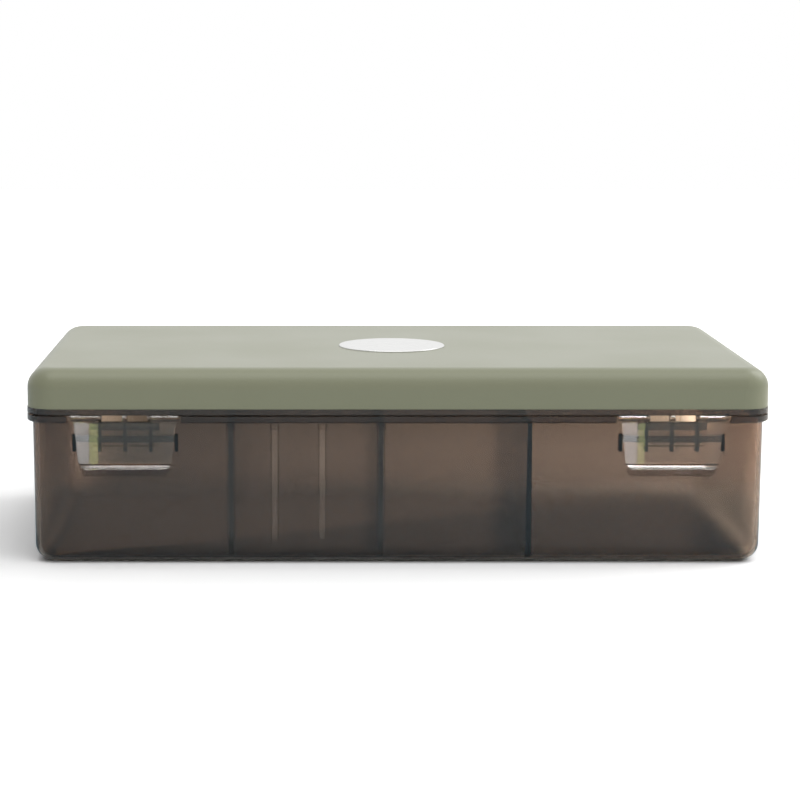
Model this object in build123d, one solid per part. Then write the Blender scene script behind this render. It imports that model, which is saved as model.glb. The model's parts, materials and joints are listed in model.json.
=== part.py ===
from build123d import *
import os
from math import acos, asin, degrees, hypot

# Tackle box with a hinged lid and two front latches.
# Millimetres. The origin is at the centre of the base, +Z is up, -Y is the
# latch side, +X is to the right of someone facing the latches.

# Lid, seen from above
lid_width = 360.0
lid_depth = 190.0
lid_corner_r = 13.5

# Olive cover and the smoked inner lid that carries it
cover_height = 19.2      # from the lid's rim to the flat top
cover_wall = 2.0
shoulder_r = 9.8         # round between the top and the sides
liner_wall = 1.5
liner_gap = 0.2          # between the walls of the cover and the inner lid
lid_rim_height = 3.2
rim_overhang = 0.3       # how far both rims stand out past the cover
rim_chamfer = 0.5
parting_gap = 0.3        # between the two rims when the lid is shut

# Snap lugs that hold the cover on the inner lid
lug_length = 12.0
lug_height = 1.6
lug_reach = 0.9
lug_rise = 4.0           # above the cover's lower edge
lug_gap = 0.15
lug_spacing_x = 110.0
lug_spacing_y = 90.0

# Badge disc on the lid
badge_d = 54.7
badge_thick = 0.9
badge_seat = 0.4         # depth of its recess
badge_gap = 0.1
badge_chamfer = 0.25
badge_y = -2.0

# Tub
tub_height = 73.1        # to the top of its rim
tub_rim_height = 3.2
tub_inset = 2.3          # its wall, in from the cover's face
tub_wall = 2.0
tub_floor = 2.2
tub_corner_r = 11.0
tub_bottom_r = 9.0
draft = 0.35             # degrees, narrower towards the base

# Cross wall moulded into the tub
cross_wall_x = 63.6
cross_wall_top = 2.1
cross_wall_foot = 3.2
cross_wall_drop = 3.6    # its top edge, below the tub's rim

# Slots for the dividers, each between two rails on the front and back walls
slot_x = (-81.1, -59.8, -36.7, -8.3)
slot_width = 2.9
slot_sink = 0.6          # groove in the wall between the rails
slot_bridge = 0.8        # left above and below the short groove at the top
rail_width = 0.5
rail_reach = 1.5
rail_drop = 4.4          # rail tops, below the tub's rim
rail_foot = 11.8         # rail bottoms, above the base
rail_head_height = 2.6
rail_head_extra = 0.35
rail_foot_chamfer = 1.0

# Dividers, fitted in the first and the last slot
divider_thick = 2.5
divider_end_gap = 0.7
divider_corner_r = 4.0   # round of its two top corners
divider_foot_gap = 0.1
divider_drop = 4.1       # top edge, below the tub's rim
divider_bead = 3.6
divider_bead_height = 2.2
divider_bead_inset = 6.0

# Latches: a barrel that turns in two lugs of the lid's rim, and a tab below it
latch_edge = 48.0        # latch centre, in from the end of the lid
barrel_r = 1.55
barrel_half = 26.3
barrel_wall_gap = 0.25   # between the barrel and the tub's wall
barrel_relief = 0.2
trunnion_r = 0.8
trunnion_length = 1.7    # stub at the inner end of each half of the barrel
trunnion_run = 0.05      # radial running clearance in the lug
axis_drop = 0.8          # barrel's axis, below the top of the tub's rim
window_in = 1.2          # open windows in the barrel, either side of its middle
window_out = 12.6
latch_lug_thick = 1.25   # lid's lug, at the outer end of each window
latch_lug_gap = 0.15
tab_length = 24.5        # below the barrel's axis
tab_top_half = 24.9
tab_foot_half = 22.2
tab_flat_half = 16.8     # where the wings start to slope back
wing_setback = 1.0
wing_bend_r = 43.0
tab_thick = 1.7
tab_corner_r = 3.5
tab_top_drop = 1.75      # top edge of the tab, below the barrel's axis
tab_neck_front = 1.35    # web from the barrel to the tab, in front of the axis
tab_neck_back = 0.3
tab_neck_foot = 2.2
lip_height = 2.7
lip_reach = 2.1
lip_edge = 0.55          # height of the lip's front edge
lip_foot_depth = 0.9     # flat foot of the lip, front to back
lip_back_drop = 0.5      # back of the tab's foot, below the top of the lip
catch_gap = 0.3          # tab to catch bar
bead_height = 1.7
bead_bite = 0.5          # how far the tab's bead hooks under the catch bar
bead_half = 15.5

# Catch moulded on the tub behind each tab, measured down from the barrel's axis
catch_half = 25.0
neck_half = 16.6
bar_reach = 2.0
bar_end_reach = 0.9
bar_top = 8.7
bar_foot = 11.8
pad_top = 8.0
pad_reach = 0.8
pad_corner_r = 1.5
web_foot = 5.9
web_reach = 1.3
rib_pitch = 12.35
rib_width = 1.5
rib_reach = 0.9
rib_inner_reach = 2.4    # same ribs, on the inside of the wall
rib_foot = 16.5
ridge_top = 25.1
ridge_foot = 28.5
ridge_top_half = 22.0
ridge_foot_half = 19.8
ridge_reach = 1.0
boss_r = 2.0             # half-round boss under the rim, in the middle of the neck
boss_reach = 1.7

# Openings in the tub's rim for the latches
notch_gap = 0.9
notch_slant = 2.0
sight_drop = 3.0         # slots in the tub's edge, in line with the windows

# Rear hinges
hinge_edge = 62.0        # hinge centre, in from the end of the lid
hinge_half = 22.0
hinge_lid_half = 11.0
hinge_side_gap = 0.3
hinge_r = 2.3
hinge_pin_r = 1.25
hinge_run = 0.05
hinge_pin_recess = 0.5
hinge_rim_gap = 0.4      # between the knuckles and the rims
lid_open = 105.0         # degrees
stop_r = 3.0             # tip of the stop fin on the lid's knuckle
stop_thick = 1.4
stop_spare = 0.5         # degrees left before the fin touches the rim

overlap = 1.0            # how far an added feature is rooted in its wall

# Worked out from the sizes above
rim_width = lid_width + 2 * rim_overhang
rim_depth = lid_depth + 2 * rim_overhang
rim_corner_r = lid_corner_r + rim_overhang
tub_width = lid_width - 2 * tub_inset
tub_depth = lid_depth - 2 * tub_inset
lid_foot_z = tub_height + parting_gap
cover_foot_z = lid_foot_z + lid_rim_height
cover_top_z = cover_foot_z + cover_height
latch_x = lid_width / 2 - latch_edge
latch_y = -(tub_depth / 2 + barrel_wall_gap + barrel_r)
latch_z = tub_height - axis_drop
tab_back_y = -(tub_depth / 2 + bar_reach + catch_gap)
hinge_x = lid_width / 2 - hinge_edge
hinge_y = rim_depth / 2 + hinge_rim_gap + hinge_r
hinge_z = tub_height + parting_gap / 2
sides = {"left": -1, "right": 1}
divider_x = {"left": slot_x[0], "right": slot_x[-1]}


def block(x, y, z):
    """Box between three pairs of limits."""
    size = (x[1] - x[0], y[1] - y[0], z[1] - z[0])
    return Pos((x[0] + x[1]) / 2, (y[0] + y[1]) / 2, (z[0] + z[1]) / 2) * Box(*size)


def rod(x_low, x_high, y, z, radius):
    """Cylinder along X."""
    centre = Pos((x_low + x_high) / 2, y, z)
    return centre * Rot(0, 90, 0) * Cylinder(radius, x_high - x_low)


def slab(width, depth, radius, z_low, z_high):
    """Upright block with a rounded-rectangle plan."""
    plan = Plane.XY.offset(z_low) * RectangleRounded(width, depth, radius)
    return extrude(plan, amount=z_high - z_low)


def domed(width, depth, radius, z_low, z_high, shoulder):
    """Slab whose top edge is rounded over."""
    solid = slab(width, depth, radius, z_low, z_high)
    return fillet(solid.faces().sort_by(Axis.Z)[-1].edges(), shoulder)


def bin_shape(inset, floor_z, bottom_r):
    """The tub's outer form, or with an inset its hollow, with drafted walls."""
    top = Plane(origin=(0, 0, tub_height), x_dir=(1, 0, 0), z_dir=(0, 0, -1))
    plan = top * RectangleRounded(
        tub_width - 2 * inset, tub_depth - 2 * inset, tub_corner_r - inset
    )
    solid = extrude(plan, amount=tub_height - floor_z, taper=draft)
    return fillet(solid.faces().sort_by(Axis.Z)[0].edges(), bottom_r)


def rim(z_low, z_high):
    """Flat rim of the tub or the lid, still filled in."""
    solid = slab(rim_width, rim_depth, rim_corner_r, z_low, z_high)
    return chamfer(solid.faces().sort_by(Axis.Z)[0].edges(), rim_chamfer)


def on_front(x, reach, z):
    """Block rooted in the tub's front wall and standing out from it."""
    y = (-(tub_depth / 2 + reach), -(tub_depth / 2 - overlap))
    return block(x, y, z)


def latch_notch(side):
    """Opening in the tub's rim, slanted at the latch's outer end."""
    inner = side * (latch_x - barrel_half - notch_gap)
    outer_low = side * (latch_x + barrel_half + notch_gap)
    outer_high = outer_low + side * notch_slant
    z_low = tub_height - tub_rim_height - overlap
    z_high = tub_height + overlap
    outline = Plane.XZ * Polyline(
        (inner, z_low), (outer_low, z_low), (outer_high, z_high), (inner, z_high), close=True
    )
    cutter = extrude(make_face(outline), amount=rim_depth, both=True)
    return cutter & block(
        (-rim_width, rim_width), (-rim_depth, -tub_depth / 2), (z_low, z_high)
    )


def sight_slots(side):
    """Slots through the top of the front wall, behind a latch's open windows."""
    slots = []
    for end in (-1, 1):
        near, far = (side * latch_x + end * limit for limit in (window_in, window_out))
        slots.append(
            block(
                sorted((near, far)),
                (-rim_depth, -(tub_depth / 2 - tub_wall - overlap)),
                (tub_height - sight_drop, tub_height + overlap),
            )
        )
    return slots


def catch_pad(x, top):
    """Flat pad on the front wall, a neck that widens lower down."""
    low, shoulder = latch_z - bar_foot, latch_z - pad_top
    outline = make_face(
        Plane.XZ
        * Polyline(
            (x - neck_half, top), (x - neck_half, shoulder),
            (x - catch_half, shoulder), (x - catch_half, low),
            (x + catch_half, low), (x + catch_half, shoulder),
            (x + neck_half, shoulder), (x + neck_half, top), close=True
        )
    )
    outline = fillet(outline.vertices().group_by(Axis.Z)[1], pad_corner_r)
    prism = extrude(outline, amount=rim_depth)
    return prism & on_front((x - catch_half, x + catch_half), pad_reach, (low, top))


def catch(side):
    """Pad, catch bar and ribs on the front wall, behind one latch."""
    x = side * latch_x
    rim_foot = tub_height - tub_rim_height
    bar_z = (latch_z - bar_foot, latch_z - bar_top)
    neck = (x - neck_half, x + neck_half)
    wide = (x - catch_half, x + catch_half)
    solid = catch_pad(x, rim_foot)
    solid += on_front(neck, web_reach, (latch_z - web_foot, rim_foot))
    solid += on_front(wide, bar_end_reach, bar_z)
    solid += on_front(neck, bar_reach, bar_z)
    for step in range(-2, 3):
        rib_z = (latch_z - rib_foot, rib_top(step, rim_foot))
        solid += on_front(rib_span(side, step), rib_reach, rib_z)
    boss = Pos(x, 0, rim_foot) * Rot(90, 0, 0) * Cylinder(boss_r, tub_depth + 2 * boss_reach)
    below_rim = (rim_foot - boss_r, rim_foot)
    return solid + (boss & on_front(neck, boss_reach, below_rim))


def rib_span(side, step):
    """Limits in X of one rib behind a latch."""
    rib_x = side * latch_x + step * rib_pitch
    return rib_x - rib_width / 2, rib_x + rib_width / 2


def inner_ribs(side):
    """Inner halves of the ribs behind one latch."""
    hollow_half = tub_depth / 2 - tub_wall
    y = (-(hollow_half + overlap), -(hollow_half - rib_inner_reach))
    top = tub_height - tub_rim_height
    return [
        block(rib_span(side, step), y, (latch_z - rib_foot, rib_top(step, top)))
        for step in range(-2, 3)
    ]


def rib_top(step, rim_foot):
    """The outer two ribs stop under the shoulders of the pad."""
    return latch_z - pad_top - pad_corner_r if abs(step) == 2 else rim_foot


def finger_ridge(side):
    """Low ridge on the front wall just under the lip of the tab."""
    x = side * latch_x
    high, low = latch_z - ridge_top, latch_z - ridge_foot
    outline = Plane.XZ * Polyline(
        (x - ridge_foot_half, low), (x + ridge_foot_half, low),
        (x + ridge_top_half, high), (x - ridge_top_half, high), close=True
    )
    prism = extrude(make_face(outline), amount=rim_depth)
    return prism & on_front((x - catch_half, x + catch_half), ridge_reach, (low, high))


def rails(x):
    """Four rails of one slot, two on the front wall and two on the back wall."""
    hollow_half = tub_depth / 2 - tub_wall
    top = tub_height - rail_drop
    solids = []
    for wall in (-1, 1):
        for edge in (-1, 1):
            near = x + edge * slot_width / 2
            far = near + edge * rail_width
            root = wall * (hollow_half + overlap)
            tip = wall * (hollow_half - rail_reach)
            head_far = far + edge * rail_head_extra
            head_tip = tip - wall * rail_head_extra
            stem = block(sorted((near, far)), sorted((root, tip)), (rail_foot, top))
            head = block(
                sorted((near, head_far)), sorted((root, head_tip)), (top - rail_head_height, top)
            )
            foot_edges = stem.faces().sort_by(Axis.Z)[0].edges().filter_by(Axis.X)
            foot_edge = foot_edges.sort_by(Axis.Y)[0 if wall > 0 else -1]
            solids.append(chamfer(foot_edge, rail_foot_chamfer) + head)
    return solids


def groove(x, wall):
    """Shallow groove between two rails, round at its foot, and a short one above."""
    half = slot_width / 2
    hollow_half = tub_depth / 2 - tub_wall
    y = sorted((wall * (hollow_half - overlap), wall * (hollow_half + slot_sink)))
    top = tub_height - rail_drop
    low, high = rail_foot + half, top - rail_head_height
    solid = block((x - half, x + half), y, (low, high))
    solid += Pos(x, sum(y) / 2, low) * Rot(90, 0, 0) * Cylinder(half, y[1] - y[0])
    return solid + block((x - half, x + half), y, (high + slot_bridge, top - slot_bridge))


def cross_wall():
    """Moulded wall from front to back, thicker at its foot."""
    top = tub_height - cross_wall_drop
    outline = Plane.XZ * Polyline(
        (cross_wall_x - cross_wall_foot / 2, tub_floor / 2),
        (cross_wall_x + cross_wall_foot / 2, tub_floor / 2),
        (cross_wall_x + cross_wall_top / 2, top),
        (cross_wall_x - cross_wall_top / 2, top),
        close=True,
    )
    half = tub_depth / 2 - tub_wall + overlap
    return extrude(make_face(outline), amount=half, both=True)


def hinge_knuckle(x_low, x_high, z_low, z_high):
    """Knuckle on the hinge axis with a web that reaches forward into a rim."""
    root = rim_depth / 2 - overlap
    solid = rod(x_low, x_high, hinge_y, hinge_z, hinge_r)
    return solid + block((x_low, x_high), (root, hinge_y), (z_low, z_high))


def make_tub():
    outer = bin_shape(0, 0, tub_bottom_r)
    solid = outer + rim(tub_height - tub_rim_height, tub_height)
    for side in sides.values():
        solid -= latch_notch(side)
        solid += catch(side) + finger_ridge(side)
    solid -= bin_shape(tub_wall, tub_floor, tub_bottom_r - tub_wall)
    for side in sides.values():
        for slot in sight_slots(side):
            solid -= slot
        for rib in inner_ribs(side):
            solid += rib
    solid += cross_wall() & outer
    for x in slot_x:
        for wall in (-1, 1):
            solid -= groove(x, wall)
        for rail in rails(x):
            solid += rail
    outer_span = (hinge_lid_half + hinge_side_gap, hinge_half)
    for side in sides.values():
        for end in (-1, 1):
            low, high = sorted(side * hinge_x + end * limit for limit in outer_span)
            solid += hinge_knuckle(low, high, hinge_z - hinge_r, tub_height)
        centre = side * hinge_x
        solid -= rod(centre - hinge_half, centre + hinge_half, hinge_y, hinge_z, hinge_pin_r)
    return solid


def make_divider(x):
    """Removable wall that follows the tub's hollow, with a bead along its top."""
    inset = tub_wall + divider_end_gap
    space = bin_shape(inset, tub_floor + divider_foot_gap, tub_bottom_r - inset)
    top = tub_height - divider_drop
    plate = block(
        (x - divider_thick / 2, x + divider_thick / 2), (-tub_depth, tub_depth), (0, top)
    )
    bead_end = tub_depth / 2 - inset - divider_bead_inset
    bead = block(
        (x - divider_bead / 2, x + divider_bead / 2),
        (-bead_end, bead_end),
        (top - divider_bead_height, top),
    )
    plate &= space
    top_edges = plate.edges().filter_by(Axis.X).group_by(Axis.Z)[-1]
    return fillet(top_edges, divider_corner_r) + bead


def lug_places():
    """Middle of each lug on the cover's inner face, with the wall it is on."""
    half_x = lid_width / 2 - cover_wall
    half_y = lid_depth / 2 - cover_wall
    places = []
    for wall in (-1, 1):
        places += [(step * lug_spacing_x, wall * half_y, "y") for step in (-1, 0, 1)]
        places += [(wall * half_x, step * lug_spacing_y / 2, "x") for step in (-1, 1)]
    return places


def lug(x, y, facing, grow):
    """Lug through the gap into the cover's wall, or with grow its pocket."""
    length = lug_length + 2 * grow
    depth = 2 * (lug_reach + grow)
    height = lug_height + 2 * grow
    size = (length, depth) if facing == "y" else (depth, length)
    centre_z = cover_foot_z + lug_rise + lug_height / 2
    return Pos(x, y, centre_z) * Box(*size, height)


def liner_shape(inset, top_z, z_low):
    """Outer or inner form of the inner lid."""
    shoulder = shoulder_r - inset
    return domed(
        lid_width - 2 * inset, lid_depth - 2 * inset, lid_corner_r - inset,
        z_low, top_z, shoulder,
    )


def make_lid_cover():
    solid = domed(lid_width, lid_depth, lid_corner_r, cover_foot_z, cover_top_z, shoulder_r)
    solid -= liner_shape(cover_wall, cover_top_z - cover_wall, cover_foot_z)
    for x, y, facing in lug_places():
        solid -= lug(x, y, facing, lug_gap)
    seat = Pos(0, badge_y, cover_top_z - badge_seat / 2)
    return solid - seat * Cylinder(badge_d / 2 + badge_gap, badge_seat)


def make_lid_badge():
    middle = cover_top_z - badge_seat + badge_thick / 2
    disc = Pos(0, badge_y, middle) * Cylinder(badge_d / 2, badge_thick)
    return chamfer(disc.faces().sort_by(Axis.Z)[-1].edges(), badge_chamfer)


def latch_lug(x, end):
    """Lug of the lid's rim that holds one trunnion of a latch, with its bore."""
    outer = window_out - latch_lug_gap
    span = sorted((x + end * (outer - latch_lug_thick), x + end * outer))
    solid = rod(*span, latch_y, latch_z, barrel_r)
    web_y = (-rim_depth / 2, latch_y + barrel_r)
    solid += block(span, web_y, (latch_z, lid_foot_z + overlap))
    return solid - rod(*span, latch_y, latch_z, trunnion_r + trunnion_run)


def stop_fin(x):
    """Fin on the lid's rear knuckle that meets the tub's rim at full opening."""
    reach = hinge_r + hinge_rim_gap
    corner_r = hypot(stop_r, stop_thick / 2)
    lead = degrees(asin(stop_thick / 2 / corner_r))
    below = degrees(acos(reach / corner_r))
    rest_angle = 180 - below - lead - lid_open - stop_spare
    fin = block(
        (x - hinge_lid_half, x + hinge_lid_half), (0, stop_r), (-stop_thick / 2, stop_thick / 2)
    )
    return Pos(0, hinge_y, hinge_z) * Rot(-rest_angle, 0, 0) * fin


def make_lid_frame():
    inset = cover_wall + liner_gap
    solid = rim(lid_foot_z, cover_foot_z)
    solid += liner_shape(inset, cover_top_z - cover_wall, lid_foot_z)
    hollow_top = cover_top_z - cover_wall - liner_wall
    solid -= liner_shape(inset + liner_wall, hollow_top, lid_foot_z)
    reach = barrel_half + notch_gap
    for side in sides.values():
        x = side * latch_x
        solid -= rod(x - reach, x + reach, latch_y, latch_z, barrel_r + barrel_relief)
        for end in (-1, 1):
            solid += latch_lug(x, end)
        x = side * hinge_x
        span = (x - hinge_lid_half, x + hinge_lid_half)
        solid += hinge_knuckle(*span, lid_foot_z, hinge_z + hinge_r) + stop_fin(x)
        solid -= rod(*span, hinge_y, hinge_z, hinge_pin_r + hinge_run)
    for x, y, facing in lug_places():
        solid += lug(x, y, facing, 0)
    return solid


def bent_plate(x):
    """Tab's plate with its lip, swept along a line that bends back at both wings."""
    foot = latch_z - tab_length
    run = tab_top_half - tab_flat_half + overlap
    back = tab_back_y + wing_setback * run / (run - overlap)
    path = FilletPolyline(
        (x - tab_flat_half - run, back, foot),
        (x - tab_flat_half, tab_back_y, foot),
        (x + tab_flat_half, tab_back_y, foot),
        (x + tab_flat_half + run, back, foot),
        radius=wing_bend_r,
    )
    along = path % 0
    side_view = Plane(origin=path @ 0, x_dir=(-along.Y, along.X, 0), z_dir=along)
    top = tab_length - tab_top_drop
    lip_front = -tab_thick - lip_reach
    outline = Polyline(
        (lip_front, lip_edge),
        (lip_front, 0),
        (lip_front + lip_foot_depth, 0),
        (0, lip_height - lip_back_drop),
        (0, top),
        (-tab_thick, top),
        (-tab_thick, lip_height),
    )
    hollow = TangentArc((-tab_thick, lip_height), (lip_front, lip_edge), tangent=(0, -1))
    return sweep(side_view * make_face(outline + hollow), path=path)


def make_latch(side):
    x = side * latch_x
    foot = latch_z - tab_length
    outline = make_face(
        Plane.XZ
        * Polyline(
            (x - tab_foot_half, foot), (x + tab_foot_half, foot),
            (x + tab_top_half, latch_z), (x - tab_top_half, latch_z), close=True
        )
    )
    outline = fillet(outline.vertices().group_by(Axis.Z)[0], tab_corner_r)
    tab = bent_plate(x) & extrude(outline, amount=rim_depth)

    solid = rod(x - barrel_half, x + barrel_half, latch_y, latch_z, barrel_r)
    neck_y = (latch_y - tab_neck_front, latch_y + tab_neck_back)
    neck_z = (latch_z - tab_neck_foot, latch_z)
    solid += block((x - tab_top_half, x + tab_top_half), neck_y, neck_z) + tab
    for end in (-1, 1):
        span = sorted((x + end * window_in, x + end * window_out))
        solid -= block(span, (-rim_depth, 0), (latch_z - tab_top_drop, cover_top_z))
        span = sorted((x + end * (window_out - trunnion_length), x + end * window_out))
        solid += rod(*span, latch_y, latch_z, trunnion_r)

    bead_top = latch_z - bar_foot - catch_gap
    bead_y = (tab_back_y - overlap, tab_back_y + catch_gap + bead_bite)
    bead = block((x - bead_half, x + bead_half), bead_y, (bead_top - bead_height, bead_top))
    tip = bead.faces().sort_by(Axis.Y)[-1].edges().filter_by(Axis.X).sort_by(Axis.Z)[0]
    return solid + chamfer(tip, bead_bite)


def make_hinge_pin(side):
    half = hinge_half - hinge_pin_recess
    return rod(side * hinge_x - half, side * hinge_x + half, hinge_y, hinge_z, hinge_pin_r)


def make_parts():
    parts = {
        "tub": make_tub(),
        "lid_frame": make_lid_frame(),
        "lid_cover": make_lid_cover(),
        "lid_badge": make_lid_badge(),
    }
    for name, side in sides.items():
        parts[f"latch_{name}"] = make_latch(side)
        parts[f"hinge_pin_{name}"] = make_hinge_pin(side)
        parts[f"divider_{name}"] = make_divider(divider_x[name])
    return parts


os.makedirs("parts", exist_ok=True)
for node, shape in make_parts().items():
    export_step(shape, f"parts/{node}.step")
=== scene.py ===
import json
import math

import bmesh
import bpy
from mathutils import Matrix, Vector


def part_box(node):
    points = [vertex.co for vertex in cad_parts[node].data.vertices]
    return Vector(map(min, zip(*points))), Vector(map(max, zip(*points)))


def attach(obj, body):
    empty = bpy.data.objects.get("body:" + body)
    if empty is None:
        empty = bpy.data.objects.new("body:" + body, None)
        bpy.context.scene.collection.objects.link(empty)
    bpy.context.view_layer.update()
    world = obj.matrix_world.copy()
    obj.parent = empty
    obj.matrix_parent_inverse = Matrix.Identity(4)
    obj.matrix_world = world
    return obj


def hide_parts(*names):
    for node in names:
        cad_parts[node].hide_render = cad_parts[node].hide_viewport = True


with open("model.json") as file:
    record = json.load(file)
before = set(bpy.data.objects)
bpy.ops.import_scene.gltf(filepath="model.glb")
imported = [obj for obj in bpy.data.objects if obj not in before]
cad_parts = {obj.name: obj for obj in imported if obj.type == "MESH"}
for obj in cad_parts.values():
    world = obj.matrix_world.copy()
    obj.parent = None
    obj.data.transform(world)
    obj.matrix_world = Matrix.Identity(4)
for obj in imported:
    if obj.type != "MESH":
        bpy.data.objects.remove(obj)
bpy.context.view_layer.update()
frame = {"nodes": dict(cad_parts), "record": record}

# Metres, in the model's own frame: +Z up, the latches at -Y.
MM = 0.001

# Camera: the photograph is a crop, so the lens axis lies left of its middle
FOCAL_PX = 2270.0
IMAGE_PX = 800.0
AXIS_PX = 304.0
SENSOR_MM = 36.0
CLIP_END = 200.0
CAMERA_AT = (-45.6 * MM, -1173.7 * MM, 245.2 * MM)
PITCH_DOWN = 8.642

# World, by the ray's direction: level + slope . direction, kept within limits
WORLD_DIFFUSE = (0.64, (0.8, -0.08, 0.08), (0.05, 0.95))
WORLD_SEEN_THROUGH = (0.93, (2.6, 0.0, 0.0), (0.66, 1.45))
WORLD_REFLECTED = (0.72, (0.0, 0.45, 0.25), (0.3, 1.1))

FLOOR_HALF = 3.0
FLOOR_ALBEDO = 0.84
# What the camera sees of the paper, by distance from the middle of the box
FLOOR_SHOWN = (1.34, 2.3)
FLOOR_SHOWN_AT = (0.45, 1.8)
# In reflections the paper shows painted light and shade: dull in front of the box,
# brighter at the ends and far off, and bright under the front edge
FLOOR_REFLECTED = (0.42, 0.58, 0.68)
FLOOR_REFLECTED_FAR = (1.1, 1.1, 1.0)
FLOOR_REFLECTED_SIDES = (1.25, 1.2, 1.12)
FLOOR_REFLECTED_FOOT = (2.2, 2.2, 2.1)
FAR_Y = (-0.62, -0.54)
SIDES_X = ((-0.25, -0.21), (0.205, 0.25))
SIDES_SHARE = ((0.45, 0), (0, 1))
SIDES_Y = (-0.33, -0.28)
FOOT_Y = ((-0.0905, -0.0885), (-0.082, -0.078))
# Painted light through the plastic: brighter to the right under the box and behind it,
# with bright ends behind it and tan far back; in front of FRONT_Y it is as in reflections
FRONT_Y = (-0.1, -0.09)
UNDER_COLOUR = (1.0, 1.22, 1.36)
UNDER_X = ((-0.02, 0.15), (0.16, 0.185))
UNDER_SHOWN = ((1.9, 9.5), (9.5, 5.5))
BEHIND_Y = (0.09, 0.11)
BEHIND_X = ((-0.2, -0.16), (-0.15, 0.2), (0.2, 0.228))
BEHIND_SHOWN = ((2.8, 0.56), (0.56, 2.05), (0.0, 7.5))
TAN_COLOUR = (0.62, 0.57, 0.49)
TAN_Y = (0.285, 0.31)

# Latch, from the model: barrel, tab with a lip, windows and a bead behind
BARREL_R = 1.55 * MM
BARREL_STEPS = 40
WINDOW_IN = 1.2 * MM
WINDOW_OUT = 12.6 * MM
STUB_R = 0.8 * MM
STUB_LENGTH = 1.7 * MM
STUB_ROOT = 0.8 * MM
STUB_STEPS = 24
TAB_LENGTH = 24.5 * MM
TAB_TOP_DROP = 1.75 * MM
TAB_TOP_HALF = 24.9 * MM
TAB_FOOT_HALF = 22.2 * MM
TAB_CORNER_R = 3.5 * MM
TAB_THICK = 1.7 * MM
TAB_BEHIND_AXIS = 0.5 * MM
TAB_ROWS = 14
TAB_COLUMNS = 64
LIP_HEIGHT = 2.7 * MM
LIP_REACH = 2.09 * MM
LIP_ROWS = 9
LIP_EDGE = 0.55 * MM
LIP_EDGE_ROWS = (0.62, 0.3, 0.1, 0)
LIP_FOOT_DEPTH = 0.9 * MM
LIP_BACK_DROP = 0.5 * MM
LIP_BACK_CURVE = 1.25
NECK_FRONT = 1.35 * MM
NECK_BACK = 0.3 * MM
NECK_FOOT = 2.2 * MM
BEAD_HALF = 15.5 * MM
BEAD_TOP = 12.1 * MM
BEAD_HEIGHT = 1.7 * MM
BEAD_REACH = 0.8 * MM
BEAD_ROOT = 0.8 * MM
# The wings bend back from BEND_START over BEND_RUN. Their front slopes more than
# their back, in full where the tab is 1 / SLOPE_GAIN of its greatest depth
BEND_START = 12.6 * MM
BEND_RUN = 5.8 * MM
WING_SLOPE_BACK = 0.123
WING_SLOPE_FRONT = 0.235
SLOPE_GAIN = 2.2
EDGE_ROUND = 0.28 * MM
EDGE_SEGMENTS = 3
EDGE_ANGLE = 38
SMOOTH_ANGLE = 35

# Catch behind each tab, measured down from the barrel's axis, and the painted shade on its
# ribs and bars
CATCH_X = 132.0 * MM
RIB_PITCH = 12.35 * MM
RIB_HALF = 0.75 * MM
RIB_FOOT = 16.5 * MM
INNER_RIBS_HALF = 1.5 * RIB_PITCH
OUTER_RIBS_HALF = 2.5 * RIB_PITCH
OUTER_RIB_TOP = 8.0 * MM
BAR_TOP = 8.7 * MM
BAR_FOOT = 11.8 * MM
WEB_TOP = 2.4 * MM
WEB_FOOT = 5.9 * MM
TUB_FRONT_Y = -92.7 * MM
RIB_BACK_Y = TUB_FRONT_Y + 5.0 * MM
BAR_BACK_Y = TUB_FRONT_Y - 0.5 * MM
# Painted shade: near-black on the ribs, dark grey on the bars
RIB_PAINTED_SHADE = (0.04, 0.05, 0.05)
BAR_PAINTED_SHADE = (0.15, 0.17, 0.18)
PAINTED_SHADE_EDGE = 0.12 * MM

# Plastics by slot: what PLASTIC_DEPTH of it leaves of white light, its roughness,
# the share that is see-through, and its index of refraction
PLASTIC_DEPTH = 2.0 * MM
PLASTICS = {
    "smoked_tub": ((0.35, 0.28, 0.23), 0.16, 0.985, 1.49),
    "smoked_lid": ((0.33, 0.28, 0.24), 0.16, 0.98, 1.49),
    "latch_clear": ((0.86, 0.8, 0.74), 0.05, 0.985, 1.4),
    "divider_smoke": ((0.45, 0.4, 0.36), 0.16, 0.87, 1.49),
}
ROUGHNESS_SPREAD = 0.15
# Keeps the colour of the most absorbed channel above 0
DENSITY_MARGIN = 1.02
# Two shades between which noise moves the colour of each finish
PLASTIC_SHADES = ((1, 0.985, 0.97), (0.97, 0.96, 0.94))
OLIVE_SHADES = ((0.245, 0.255, 0.166), (0.262, 0.271, 0.180))
SILVER_SHADES = ((0.66, 0.66, 0.65), (0.74, 0.74, 0.73))
STEEL_SHADES = ((0.5, 0.5, 0.51), (0.66, 0.66, 0.67))
# Between these a noise texture has nearly all its values
NOISE_REACH = (0.3, 0.7)
# A Mix node's two inputs and its output, by its data type
MIX_SOCKETS = {"FLOAT": (2, 3, 0), "RGBA": (6, 7, 2)}

# Lamps: place, size and radiance; all aim at LAMP_AIM
LAMP_AIM = (0, -0.05, 0.05)
LAMPS = {
    "key_right": ((1.0, 0.35, 0.9), (0.8, 0.8), 2.2),
    "overhead": ((0, -0.35, 1.4), (1.6, 1.0), 1.15),
}
# Cards in front of the box that only the latches' wings reflect: latch, name, offset
# from the latch's middle, azimuths from -Y, radiance and colour
CARD_DISTANCE = 0.2
CARD_TALL = 0.07
CARD_WHITE = (0.95, 0.97, 1.0)
CARD_YELLOW = (0.9, 1.0, 0.4)
CARDS = (
    ("left", "wing", -20 * MM, (-26.5, -48), 6.0, CARD_WHITE),
    ("left", "bend", -15 * MM, (-6.5, -26), 5.4, CARD_YELLOW),
    ("right", "wing", -21 * MM, (-11.5, -29), 6.4, CARD_WHITE),
    ("right", "bend", -15 * MM, (4.4, -11), 5.0, CARD_YELLOW),
)
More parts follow.
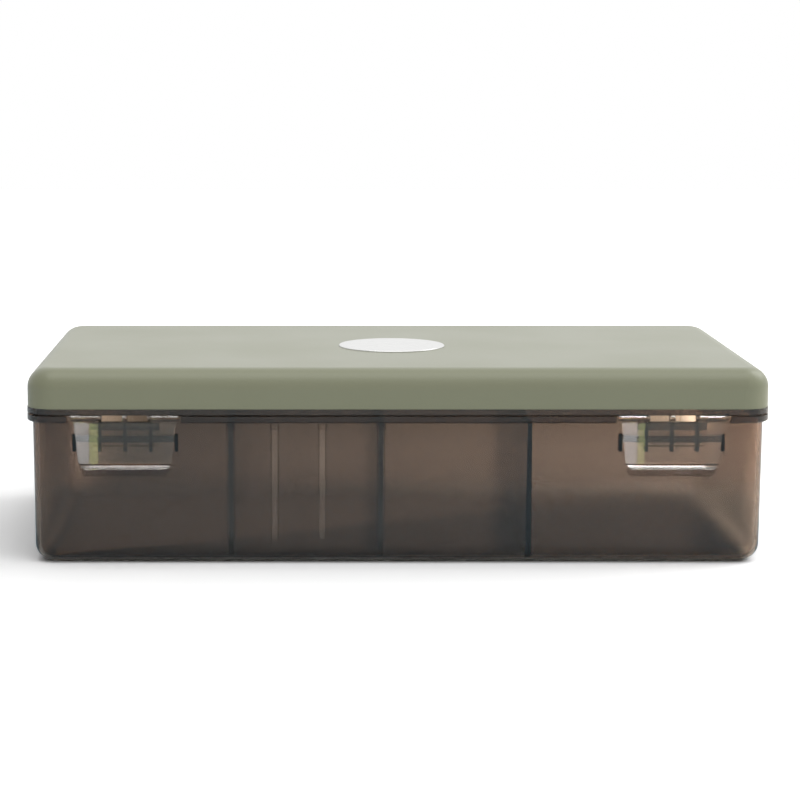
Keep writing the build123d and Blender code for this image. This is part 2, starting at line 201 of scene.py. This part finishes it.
# Lamps that only the latches reflect, in their lips
LIP_LAMP_FORWARD = 0.2
LIP_LAMP_Z = 0.5
LIP_LAMP_SIZE = (0.4, 0.5)
LIP_LAMP_RADIANCE = {"left": 10.5, "right": 34.0}


def feed(tree, node, inputs):
    """Sets sockets of a node, by name or number, to plain values or other outputs."""
    for name, value in inputs.items():
        socket = node.inputs[name]
        if isinstance(value, bpy.types.NodeSocket):
            tree.links.new(value, socket)
        elif socket.type == "RGBA":
            socket.default_value = (*value, 1)
        else:
            socket.default_value = value


def add_node(tree, kind, inputs, operation=None):
    node = tree.nodes.new(kind)
    if operation:
        node.operation = operation
    feed(tree, node, inputs)
    return node


def new_material(name, kind="ShaderNodeBsdfPrincipled"):
    """Gives the material, its node tree and the one shader on its surface."""
    material = bpy.data.materials.new(name)
    material.use_nodes = True
    tree = material.node_tree
    tree.nodes.clear()
    shader = tree.nodes.new(kind)
    add_node(tree, "ShaderNodeOutputMaterial", {"Surface": shader.outputs["BSDF"]})
    return material, tree, shader


def object_noise(tree, scale, detail=3.0, stretch=(1, 1, 1)):
    """Noise fixed to the object, so that it rides with the piece."""
    place = tree.nodes.new("ShaderNodeTexCoord").outputs["Object"]
    size = add_node(tree, "ShaderNodeMapping", {"Vector": place, "Scale": stretch})
    noise = add_node(tree, "ShaderNodeTexNoise", {
        "Vector": size.outputs["Vector"], "Scale": scale, "Detail": detail,
    })
    return noise.outputs["Fac"]


def object_axes(tree):
    """X, Y and Z in the object's own frame."""
    place = tree.nodes.new("ShaderNodeTexCoord").outputs["Object"]
    return add_node(tree, "ShaderNodeSeparateXYZ", {0: place}).outputs


def map_range(tree, source, levels, reach=NOISE_REACH):
    """Takes the two ends of reach to the two levels, and keeps between them."""
    node = add_node(tree, "ShaderNodeMapRange", {
        "Value": source, "From Min": reach[0], "From Max": reach[1],
        "To Min": levels[0], "To Max": levels[1],
    })
    return node.outputs["Result"]


def maths(tree, operation, first, second):
    node = add_node(tree, "ShaderNodeMath", {0: first, 1: second}, operation)
    return node.outputs[0]


def mix(tree, factor, first, second, kind="RGBA"):
    """From the first colour to the second, or with kind FLOAT between numbers."""
    node = tree.nodes.new("ShaderNodeMix")
    node.data_type = kind
    low, high, result = MIX_SOCKETS[kind]
    feed(tree, node, {0: factor, low: first, high: second})
    return node.outputs[result]


def bump(tree, height, strength, distance):
    node = add_node(tree, "ShaderNodeBump", {
        "Strength": strength, "Distance": distance, "Height": height,
    })
    return node.outputs["Normal"]


def smoked_plastic(name, tint, roughness, clear, index):
    """Satin see-through plastic: light is absorbed along its way through the solid."""
    material, tree, shader = new_material(name)
    fine = object_noise(tree, scale=900.0)
    broad = object_noise(tree, scale=18.0)
    rough = [roughness * (1 + sign * ROUGHNESS_SPREAD) for sign in (-1, 1)]
    feed(tree, shader, {
        "Base Color": mix(tree, broad, *PLASTIC_SHADES),
        "Roughness": map_range(tree, broad, rough),
        "Normal": bump(tree, fine, strength=0.12, distance=0.2 * MM),
        "Transmission Weight": clear,
        "IOR": index,
    })
    # The node absorbs density * (1 - colour) in each channel
    absorbed = [-math.log(left) / PLASTIC_DEPTH for left in tint]
    density = max(absorbed) * DENSITY_MARGIN
    volume = add_node(tree, "ShaderNodeVolumeAbsorption", {
        "Color": [1 - part / density for part in absorbed], "Density": density,
    })
    output = tree.nodes["Material Output"]
    feed(tree, output, {"Volume": volume.outputs["Volume"]})
    return material


def paint_catch_shade(material):
    """Painted shade: ribs and bars behind the latches, thick in the line of sight, are
    painted darker in the base colour.
    """
    tree = material.node_tree
    x, y, z = object_axes(tree)
    axis_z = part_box("latch_left")[1].z - BARREL_R
    along = maths(tree, "SUBTRACT", maths(tree, "ABSOLUTE", x, 0), CATCH_X)
    off_rib = maths(tree, "PINGPONG", along, RIB_PITCH / 2)

    def below(value, limit):
        return map_range(tree, value, (1, 0), (limit, limit + PAINTED_SHADE_EDGE))

    def between(value, low, high):
        return maths(tree, "SUBTRACT", below(value, high), below(value, low - PAINTED_SHADE_EDGE))

    def block(half, top, foot):
        """Reaches half to each side of the catch, and from top to foot below the axis."""
        height = between(z, axis_z - foot, axis_z - top)
        return maths(tree, "MULTIPLY", between(along, -half, half), height)

    bars = maths(
        tree, "ADD",
        block(TAB_TOP_HALF, BAR_TOP, BAR_FOOT), block(TAB_TOP_HALF, WEB_TOP, WEB_FOOT),
    )
    bars = maths(tree, "MULTIPLY", bars, below(y, BAR_BACK_Y))
    ribs = maths(
        tree, "MAXIMUM",
        block(INNER_RIBS_HALF, WEB_TOP, RIB_FOOT),
        block(OUTER_RIBS_HALF, OUTER_RIB_TOP, RIB_FOOT),
    )
    ribs = maths(tree, "MULTIPLY", ribs, below(off_rib, RIB_HALF))
    ribs = maths(tree, "MULTIPLY", ribs, below(y, RIB_BACK_Y))
    shader = tree.nodes["Principled BSDF"]
    colour = shader.inputs["Base Color"].links[0].from_socket
    # Painted shade laid over the tub's own colour
    for mask, shade in ((bars, BAR_PAINTED_SHADE), (ribs, RIB_PAINTED_SHADE)):
        colour = mix(tree, mask, colour, shade)
    feed(tree, shader, {"Base Color": colour})


def olive_plastic():
    """Fine matt moulded texture."""
    material, tree, shader = new_material("olive_plastic")
    broad = object_noise(tree, scale=14.0)
    fine = object_noise(tree, scale=1500.0, detail=2.0)
    feed(tree, shader, {
        "Base Color": mix(tree, broad, *OLIVE_SHADES),
        "Roughness": map_range(tree, broad, (0.3, 0.36)),
        "Normal": bump(tree, fine, strength=0.25, distance=0.2 * MM),
        "IOR": 1.5,
    })
    return material


def badge_metal():
    """Blank silver disc, brushed to and fro."""
    material, tree, shader = new_material("badge_metal")
    grain = object_noise(tree, scale=260.0, stretch=(0.15, 6, 1))
    feed(tree, shader, {
        "Base Color": mix(tree, grain, *SILVER_SHADES),
        "Roughness": map_range(tree, grain, (0.24, 0.36)),
        "Normal": bump(tree, grain, strength=0.1, distance=0.1 * MM),
        "Metallic": 0.8,
    })
    return material


def pin_metal():
    """Ground stainless wire."""
    material, tree, shader = new_material("pin_metal")
    grain = object_noise(tree, scale=900.0, stretch=(0.1, 4, 4))
    feed(tree, shader, {
        "Base Color": mix(tree, grain, *STEEL_SHADES),
        "Roughness": map_range(tree, grain, (0.22, 0.38)),
        "Metallic": 1.0,
    })
    return material


def by_ray(tree, level, seen, kind="FLOAT"):
    """Another level for each kind of ray named in seen, the last one winning."""
    path = tree.nodes.new("ShaderNodeLightPath")
    for ray, value in seen:
        level = mix(tree, path.outputs[ray], level, value, kind)
    return level


def floor_material():
    """Pale paper; what it shows in plastic and metal is painted light and shade by place.
    """
    material, tree, shader = new_material("paper", "ShaderNodeBsdfDiffuse")
    x, y, _ = object_axes(tree)

    def past(reach):
        return map_range(tree, y, (0, 1), reach)

    def ramps(levels, reaches):
        return [map_range(tree, x, *pair) for pair in zip(levels, reaches)]

    def scaled(colour, level):
        inputs = {0: colour, "Scale": level}
        return add_node(tree, "ShaderNodeVectorMath", inputs, "SCALE").outputs[0]

    beside = maths(tree, "MAXIMUM", *ramps(SIDES_SHARE, SIDES_X))
    beside = maths(tree, "MULTIPLY", past(SIDES_Y), beside)
    # Painted light: a bright strip under the front edge, in reflections
    foot = maths(tree, "SUBTRACT", past(FOOT_Y[0]), past(FOOT_Y[1]))
    reflected = mix(tree, past(FAR_Y), FLOOR_REFLECTED_FAR, FLOOR_REFLECTED)
    reflected = mix(tree, beside, reflected, FLOOR_REFLECTED_SIDES)
    reflected = mix(tree, foot, reflected, FLOOR_REFLECTED_FOOT)

    # Painted light under and behind the box, seen through the plastic
    under = maths(tree, "MINIMUM", *ramps(UNDER_SHOWN, UNDER_X))
    left, middle, right = ramps(BEHIND_SHOWN, BEHIND_X)
    behind = maths(tree, "MAXIMUM", left, maths(tree, "MAXIMUM", middle, right))
    through = mix(tree, past(BEHIND_Y), scaled(UNDER_COLOUR, under), behind)
    through = mix(tree, past(TAN_Y), through, scaled(TAN_COLOUR, behind))
    through = mix(tree, past(FRONT_Y), reflected, through)

    place = tree.nodes.new("ShaderNodeTexCoord").outputs["Object"]
    distance = add_node(tree, "ShaderNodeVectorMath", {0: place}, "LENGTH")
    shown = map_range(tree, distance.outputs["Value"], FLOOR_SHOWN, FLOOR_SHOWN_AT)
    rays = (
        ("Is Glossy Ray", reflected), ("Is Transmission Ray", through),
        ("Is Camera Ray", shown),
    )
    feed(tree, shader, {"Color": by_ray(tree, [FLOOR_ALBEDO] * 3, rays, "RGBA")})
    return material


def make_world():
    """White to the camera; elsewhere a soft studio, brighter above and on the right."""
    world = bpy.data.worlds.new("studio")
    bpy.context.scene.world = world
    world.use_nodes = True
    tree = world.node_tree
    tree.nodes.clear()
    direction = tree.nodes.new("ShaderNodeTexCoord").outputs["Generated"]

    def strength(level, slope, limits):
        inputs = {0: direction, 1: slope}
        dot = add_node(tree, "ShaderNodeVectorMath", inputs, "DOT_PRODUCT")
        raised = maths(tree, "ADD", dot.outputs["Value"], level)
        inputs = {"Value": raised, "Min": limits[0], "Max": limits[1]}
        return add_node(tree, "ShaderNodeClamp", inputs).outputs[0]

    rays = (
        ("Is Glossy Ray", strength(*WORLD_REFLECTED)),
        ("Is Transmission Ray", strength(*WORLD_SEEN_THROUGH)),
        ("Is Camera Ray", 1.0),
    )
    back = add_node(tree, "ShaderNodeBackground", {
        "Color": (1, 1, 1), "Strength": by_ray(tree, strength(*WORLD_DIFFUSE), rays),
    })
    add_node(tree, "ShaderNodeOutputWorld", {"Surface": back.outputs["Background"]})


def make_lamp(name, at, aim, size, radiance, colour=(1, 1, 1), only_in=None):
    """Soft box. Its radiance is what a mirror would show of it, where 1 is white.

    only_in names the one piece that reflects it, and then it lights nothing."""
    lamp = bpy.data.lights.new(name, "AREA")
    lamp.shape = "RECTANGLE"
    lamp.size, lamp.size_y = size
    lamp.energy = radiance * math.pi * size[0] * size[1]
    lamp.color = colour
    stand = bpy.data.objects.new(name, lamp)
    stand.location = at
    stand.rotation_euler = (Vector(aim) - Vector(at)).to_track_quat("-Z", "Y").to_euler()
    bpy.context.scene.collection.objects.link(stand)
    stand.visible_camera = False
    if only_in:
        stand.visible_diffuse = False
        stand.visible_transmission = False
        shown_in = bpy.data.collections.new(name)
        shown_in.objects.link(bpy.data.objects[only_in])
        stand.light_linking.receiver_collection = shown_in


def latch_card(side, name, offset, azimuths, radiance, colour):
    """Card beside a latch's left wing, reflected over a range of azimuths from -Y."""
    low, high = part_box(f"latch_{side}")
    aim = Vector(((low.x + high.x) / 2 + offset, low.y, CARD_TALL / 2))
    middle = math.radians(sum(azimuths) / 2)
    half = math.radians(abs(azimuths[1] - azimuths[0]) / 2)
    at = aim + CARD_DISTANCE * Vector((math.sin(middle), -math.cos(middle), 0))
    size = (2 * CARD_DISTANCE * math.tan(half), CARD_TALL)
    detailed = f"latch_{side}_detailed"
    make_lamp(f"{name}_{side}", at, aim, size, radiance, colour, only_in=detailed)


def make_lamps():
    for name, (at, size, radiance) in LAMPS.items():
        make_lamp(name, at, LAMP_AIM, size, radiance)
    for card in CARDS:
        latch_card(*card)
    for side, radiance in LIP_LAMP_RADIANCE.items():
        low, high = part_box(f"latch_{side}")
        middle = (low + high) / 2
        at = (middle.x, middle.y - LIP_LAMP_FORWARD, LIP_LAMP_Z)
        detailed = f"latch_{side}_detailed"
        make_lamp(f"lip_{side}", at, middle, LIP_LAMP_SIZE, radiance, only_in=detailed)


def make_floor():
    mesh = bpy.data.meshes.new("paper")
    h = FLOOR_HALF
    mesh.from_pydata([(-h, -h, 0), (h, -h, 0), (h, h, 0), (-h, h, 0)], [], [(0, 1, 2, 3)])
    floor = bpy.data.objects.new("paper", mesh)
    bpy.context.scene.collection.objects.link(floor)
    mesh.materials.append(floor_material())


def make_camera():
    data = bpy.data.cameras.new("camera")
    camera = bpy.data.objects.new("camera", data)
    bpy.context.scene.collection.objects.link(camera)
    data.sensor_width = SENSOR_MM
    data.lens = SENSOR_MM * FOCAL_PX / IMAGE_PX
    data.shift_x = (IMAGE_PX / 2 - AXIS_PX) / IMAGE_PX
    data.clip_end = CLIP_END
    camera.location = CAMERA_AT
    camera.rotation_euler = (math.radians(90 - PITCH_DOWN), 0, 0)
    bpy.context.scene.camera = camera


def new_piece(name, verts, faces):
    mesh = bpy.data.meshes.new(name)
    mesh.from_pydata(verts, [], faces)
    piece = bpy.data.objects.new(name, mesh)
    bpy.context.scene.collection.objects.link(piece)
    solid = bmesh.new()
    solid.from_mesh(mesh)
    bmesh.ops.recalc_face_normals(solid, faces=solid.faces)
    solid.to_mesh(mesh)
    solid.free()
    return piece


def prism(name, outline, ends):
    """Closed outline in the YZ plane, drawn out along X between two ends."""
    count = len(outline)
    verts = [(x, y, z) for x in sorted(ends) for y, z in outline]
    faces = [
        (i, (i + 1) % count, count + (i + 1) % count, count + i) for i in range(count)
    ]
    faces += [tuple(range(count)), tuple(range(count, 2 * count))]
    return new_piece(name, verts, faces)


def circle(radius, steps):
    turns = [2 * math.pi * i / steps for i in range(steps)]
    return [(radius * math.cos(a), radius * math.sin(a)) for a in turns]


def spread(low, high, steps):
    return [low + (high - low) * i / steps for i in range(steps + 1)]


def tab_half(height):
    """Half width of the tab at a height above its foot, with its round corners."""
    half = TAB_FOOT_HALF + (TAB_TOP_HALF - TAB_FOOT_HALF) * height / TAB_LENGTH
    if height < TAB_CORNER_R:
        half -= TAB_CORNER_R - math.sqrt(TAB_CORNER_R**2 - (TAB_CORNER_R - height) ** 2)
    return half


def wing_drop(x, slope):
    """How far a wing lies behind the flat middle of the tab."""
    past = max(0.0, abs(x) - BEND_START)
    if past < BEND_RUN:
        return slope * past**2 / (2 * BEND_RUN)
    return slope * (past - BEND_RUN / 2)


def tab_curves():
    """Front and back of the tab's side view as (depth, height above the foot)."""
    top = TAB_LENGTH - TAB_TOP_DROP
    radius = (LIP_REACH**2 + (LIP_HEIGHT - LIP_EDGE) ** 2) / (2 * LIP_REACH)
    sweep = math.asin((LIP_HEIGHT - LIP_EDGE) / radius)
    front = [(TAB_THICK, h) for h in spread(top, LIP_HEIGHT, TAB_ROWS)]
    front += [
        (TAB_THICK + radius * (1 - math.cos(a)), LIP_HEIGHT - radius * math.sin(a))
        for a in spread(0, sweep, LIP_ROWS)[1:]
    ]
    front += [(TAB_THICK + LIP_REACH, LIP_EDGE * share) for share in LIP_EDGE_ROWS]
    back_top = LIP_HEIGHT - LIP_BACK_DROP
    foot_depth = TAB_THICK + LIP_REACH - LIP_FOOT_DEPTH
    back = [(0, h) for h in spread(top, back_top, TAB_ROWS)]
    back += [
        (foot_depth * share, back_top * (1 - share**LIP_BACK_CURVE))
        for share in spread(0, 1, len(front) - len(back))[1:]
    ]
    return front, back


def make_tab(name):
    """Tab as one closed skin of quads: front and back, sides, top and foot."""
    front, back = tab_curves()
    across = spread(-1, 1, TAB_COLUMNS)
    verts = []
    for curve, slope in ((front, WING_SLOPE_FRONT), (back, WING_SLOPE_BACK)):
        for depth, height in curve:
            share = depth / (TAB_THICK + LIP_REACH)
            mixed = WING_SLOPE_BACK + (slope - WING_SLOPE_BACK) * min(1, share * SLOPE_GAIN)
            for u in across:
                x = u * tab_half(height)
                y = -TAB_BEHIND_AXIS - depth + wing_drop(x, mixed)
                verts.append((x, y, height - TAB_LENGTH))
    # Axes of the grid of points: 0 front to back, 1 down, 2 across
    counts = (2, len(front), len(across))
    steps = (counts[1] * counts[2], counts[2], 1)
    faces = []
    for fixed, first, second in ((0, 1, 2), (2, 0, 1), (1, 0, 2)):
        a, b = steps[first], steps[second]
        for end in (0, counts[fixed] - 1):
            for i in range(counts[first] - 1):
                for j in range(counts[second] - 1):
                    corner = end * steps[fixed] + i * a + j * b
                    faces.append((corner, corner + b, corner + a + b, corner + a))
    tab = new_piece(name, verts, faces)
    round_edges(tab)
    return tab


def round_edges(piece):
    bevel = piece.modifiers.new("edges", "BEVEL")
    bevel.width = EDGE_ROUND
    bevel.segments = EDGE_SEGMENTS
    bevel.limit_method = "ANGLE"
    bevel.angle_limit = math.radians(EDGE_ANGLE)
    settle(piece)


def settle(piece):
    """Puts the modifiers' result into the mesh."""
    graph = bpy.context.evaluated_depsgraph_get()
    mesh = bpy.data.meshes.new_from_object(piece.evaluated_get(graph))
    piece.modifiers.clear()
    piece.data = mesh


def join_solids(base, others):
    for other in others:
        step = base.modifiers.new("join", "BOOLEAN")
        step.operation = "UNION"
        step.solver = "EXACT"
        step.object = other
        settle(base)
        bpy.data.objects.remove(other)


def smooth(piece):
    for face in piece.data.polygons:
        face.use_smooth = True
    piece.data.set_sharp_from_angle(angle=math.radians(SMOOTH_ANGLE))


def make_latch_mesh():
    """Whole latch about its own axis: barrel and neck with windows, tab and bead."""
    latch = make_tab("latch_mesh")
    parts = []
    low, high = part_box("latch_left")
    barrel_half = (high.x - low.x) / 2
    neck = [
        (-NECK_FRONT, 0), (NECK_BACK, 0), (NECK_BACK, -NECK_FOOT), (-NECK_FRONT, -NECK_FOOT)
    ]
    for name, side, start, barrel_end, neck_end in (
        ("middle", 1, -WINDOW_IN, WINDOW_IN, WINDOW_IN),
        ("outer", -1, WINDOW_OUT, barrel_half, TAB_TOP_HALF),
        ("outer", 1, WINDOW_OUT, barrel_half, TAB_TOP_HALF),
    ):
        outline = circle(BARREL_R, BARREL_STEPS)
        barrel = prism(name, outline, (side * start, side * barrel_end))
        round_edges(barrel)
        parts.append(barrel)
        parts.append(prism(name, neck, (side * start, side * (neck_end - EDGE_ROUND))))
    for side in (-1, 1):
        ends = [side * x for x in (WINDOW_OUT - STUB_LENGTH, WINDOW_OUT + STUB_ROOT)]
        parts.append(prism("stub", circle(STUB_R, STUB_STEPS), ends))
    back = -TAB_BEHIND_AXIS
    tip = back + BEAD_REACH
    bead = [
        (back - BEAD_ROOT, -BEAD_TOP), (tip, -BEAD_TOP),
        (tip, -BEAD_TOP - BEAD_HEIGHT / 2), (back, -BEAD_TOP - BEAD_HEIGHT),
        (back - BEAD_ROOT, -BEAD_TOP - BEAD_HEIGHT),
    ]
    parts.append(prism("bead", bead, (-BEAD_HALF, BEAD_HALF)))
    join_solids(latch, parts)
    smooth(latch)
    return latch


def make_latches(finish):
    pattern = make_latch_mesh()
    pattern.data.materials.append(finish)
    for side in ("left", "right"):
        low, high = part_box(f"latch_{side}")
        piece = bpy.data.objects.new(f"latch_{side}_detailed", pattern.data)
        bpy.context.scene.collection.objects.link(piece)
        piece.location = ((low.x + high.x) / 2, high.y - BARREL_R, high.z - BARREL_R)
        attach(piece, f"latch_{side}")
        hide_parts(f"latch_{side}")
    bpy.data.objects.remove(pattern)


def dress():
    finishes = {slot: smoked_plastic(slot, *look) for slot, look in PLASTICS.items()}
    # Painted shade on the ribs and bars of the catches
    paint_catch_shade(finishes["smoked_tub"])
    finishes["olive_cover"] = olive_plastic()
    finishes["badge_face"] = badge_metal()
    finishes["pin_steel"] = pin_metal()
    slots = {row["node"]: row["material_slot"] for row in frame["record"]["subparts"]}
    for name, node in frame["nodes"].items():
        node.data.materials.clear()
        node.data.materials.append(finishes[slots[name]])
    make_latches(finishes["latch_clear"])


bpy.context.scene.view_settings.view_transform = "Standard"
dress()
make_floor()
make_world()
make_lamps()
make_camera()
